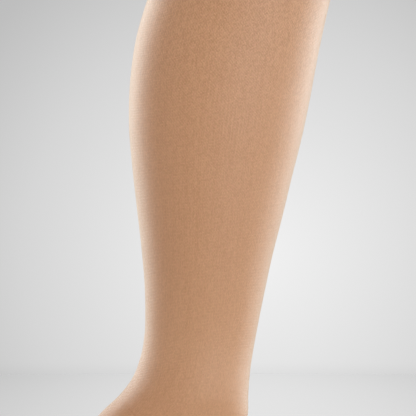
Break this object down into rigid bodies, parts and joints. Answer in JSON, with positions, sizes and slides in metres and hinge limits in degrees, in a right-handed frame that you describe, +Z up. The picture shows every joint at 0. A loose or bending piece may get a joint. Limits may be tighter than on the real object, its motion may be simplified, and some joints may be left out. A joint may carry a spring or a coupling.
{
  "type": "compression stocking",
  "caption": "Knee-high compression stocking with a closed toe, hollow as worn, with a turned top band, tapered leg, heel pocket, foot and rounded toe.",
  "frame": {"origin": "centre of the top opening, in the plane of the band's upper edge, where the leg holds the stocking up", "axes": "+X to the toes, +Y to one side, +Z up; the XZ plane halves the stocking, and the leg leans forward over the toes"},
  "size_m": [0.2068, 0.1094, 0.4497],
  "materials": {
    "compression_knit": "fine opaque elastic knit in sand beige, matte with a soft sheen at its edges",
    "welt_knit": "double turned welt of the same beige yarn, matte, with a fine rib"
  },
  "bodies": {
    "root": {"top_band": "welt_knit", "leg": "compression_knit", "ankle": "compression_knit", "heel": "compression_knit", "foot": "compression_knit", "toe": "compression_knit"}
  },
  "joints": []
}
